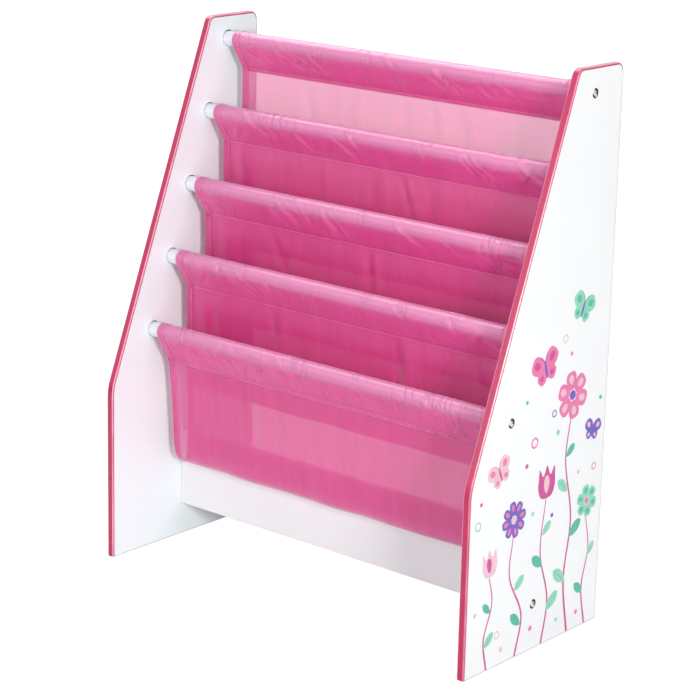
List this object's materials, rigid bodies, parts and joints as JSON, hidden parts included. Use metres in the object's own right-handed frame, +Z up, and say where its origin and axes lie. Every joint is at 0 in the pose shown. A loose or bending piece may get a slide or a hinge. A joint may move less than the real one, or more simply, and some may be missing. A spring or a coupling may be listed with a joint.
{
  "type": "sling bookshelf",
  "caption": "Low children's bookshelf: two sloping side boards, a bottom rail and rods that carry a sewn cloth sling with open pockets for books shown face on.",
  "frame": {"origin": "on the floor, in the middle of the shelf's footprint", "axes": "+X across the shelf to its right side as seen from the front, +Y to the back, +Z up"},
  "size_m": [0.51, 0.23, 0.6],
  "materials": {
    "white_board": "white faced fibreboard, semi-gloss",
    "pink_band": "crimson pink edge band, rounded arrises, semi-gloss",
    "white_rod": "white painted wood, satin",
    "pink_cloth": "thin plain-woven pink polyester, slightly see-through, soft sheen",
    "steel": "zinc plated steel",
    "beech": "plain beech"
  },
  "bodies": {
    "root": {"side_panel_left": "white_board", "edge_band_left": "pink_band", "screw_top_left": "steel", "screw_front_left": "steel", "screw_rail_left": "steel", "location_pin_left": "beech", "side_panel_right": "white_board", "edge_band_right": "pink_band", "screw_top_right": "steel", "screw_front_right": "steel", "screw_rail_right": "steel", "location_pin_right": "beech", "bottom_rail": "white_board", "rod_1": "white_rod", "sling_sleeve_1": "pink_cloth", "rod_2": "white_rod", "sling_sleeve_2": "pink_cloth", "rod_3": "white_rod", "sling_sleeve_3": "pink_cloth", "rod_4": "white_rod", "sling_sleeve_4": "pink_cloth", "rod_5": "white_rod", "sling_sleeve_5": "pink_cloth", "sling_pocket_1": "pink_cloth", "sling_pocket_2": "pink_cloth", "sling_pocket_3": "pink_cloth", "sling_pocket_4": "pink_cloth"}
  },
  "joints": []
}
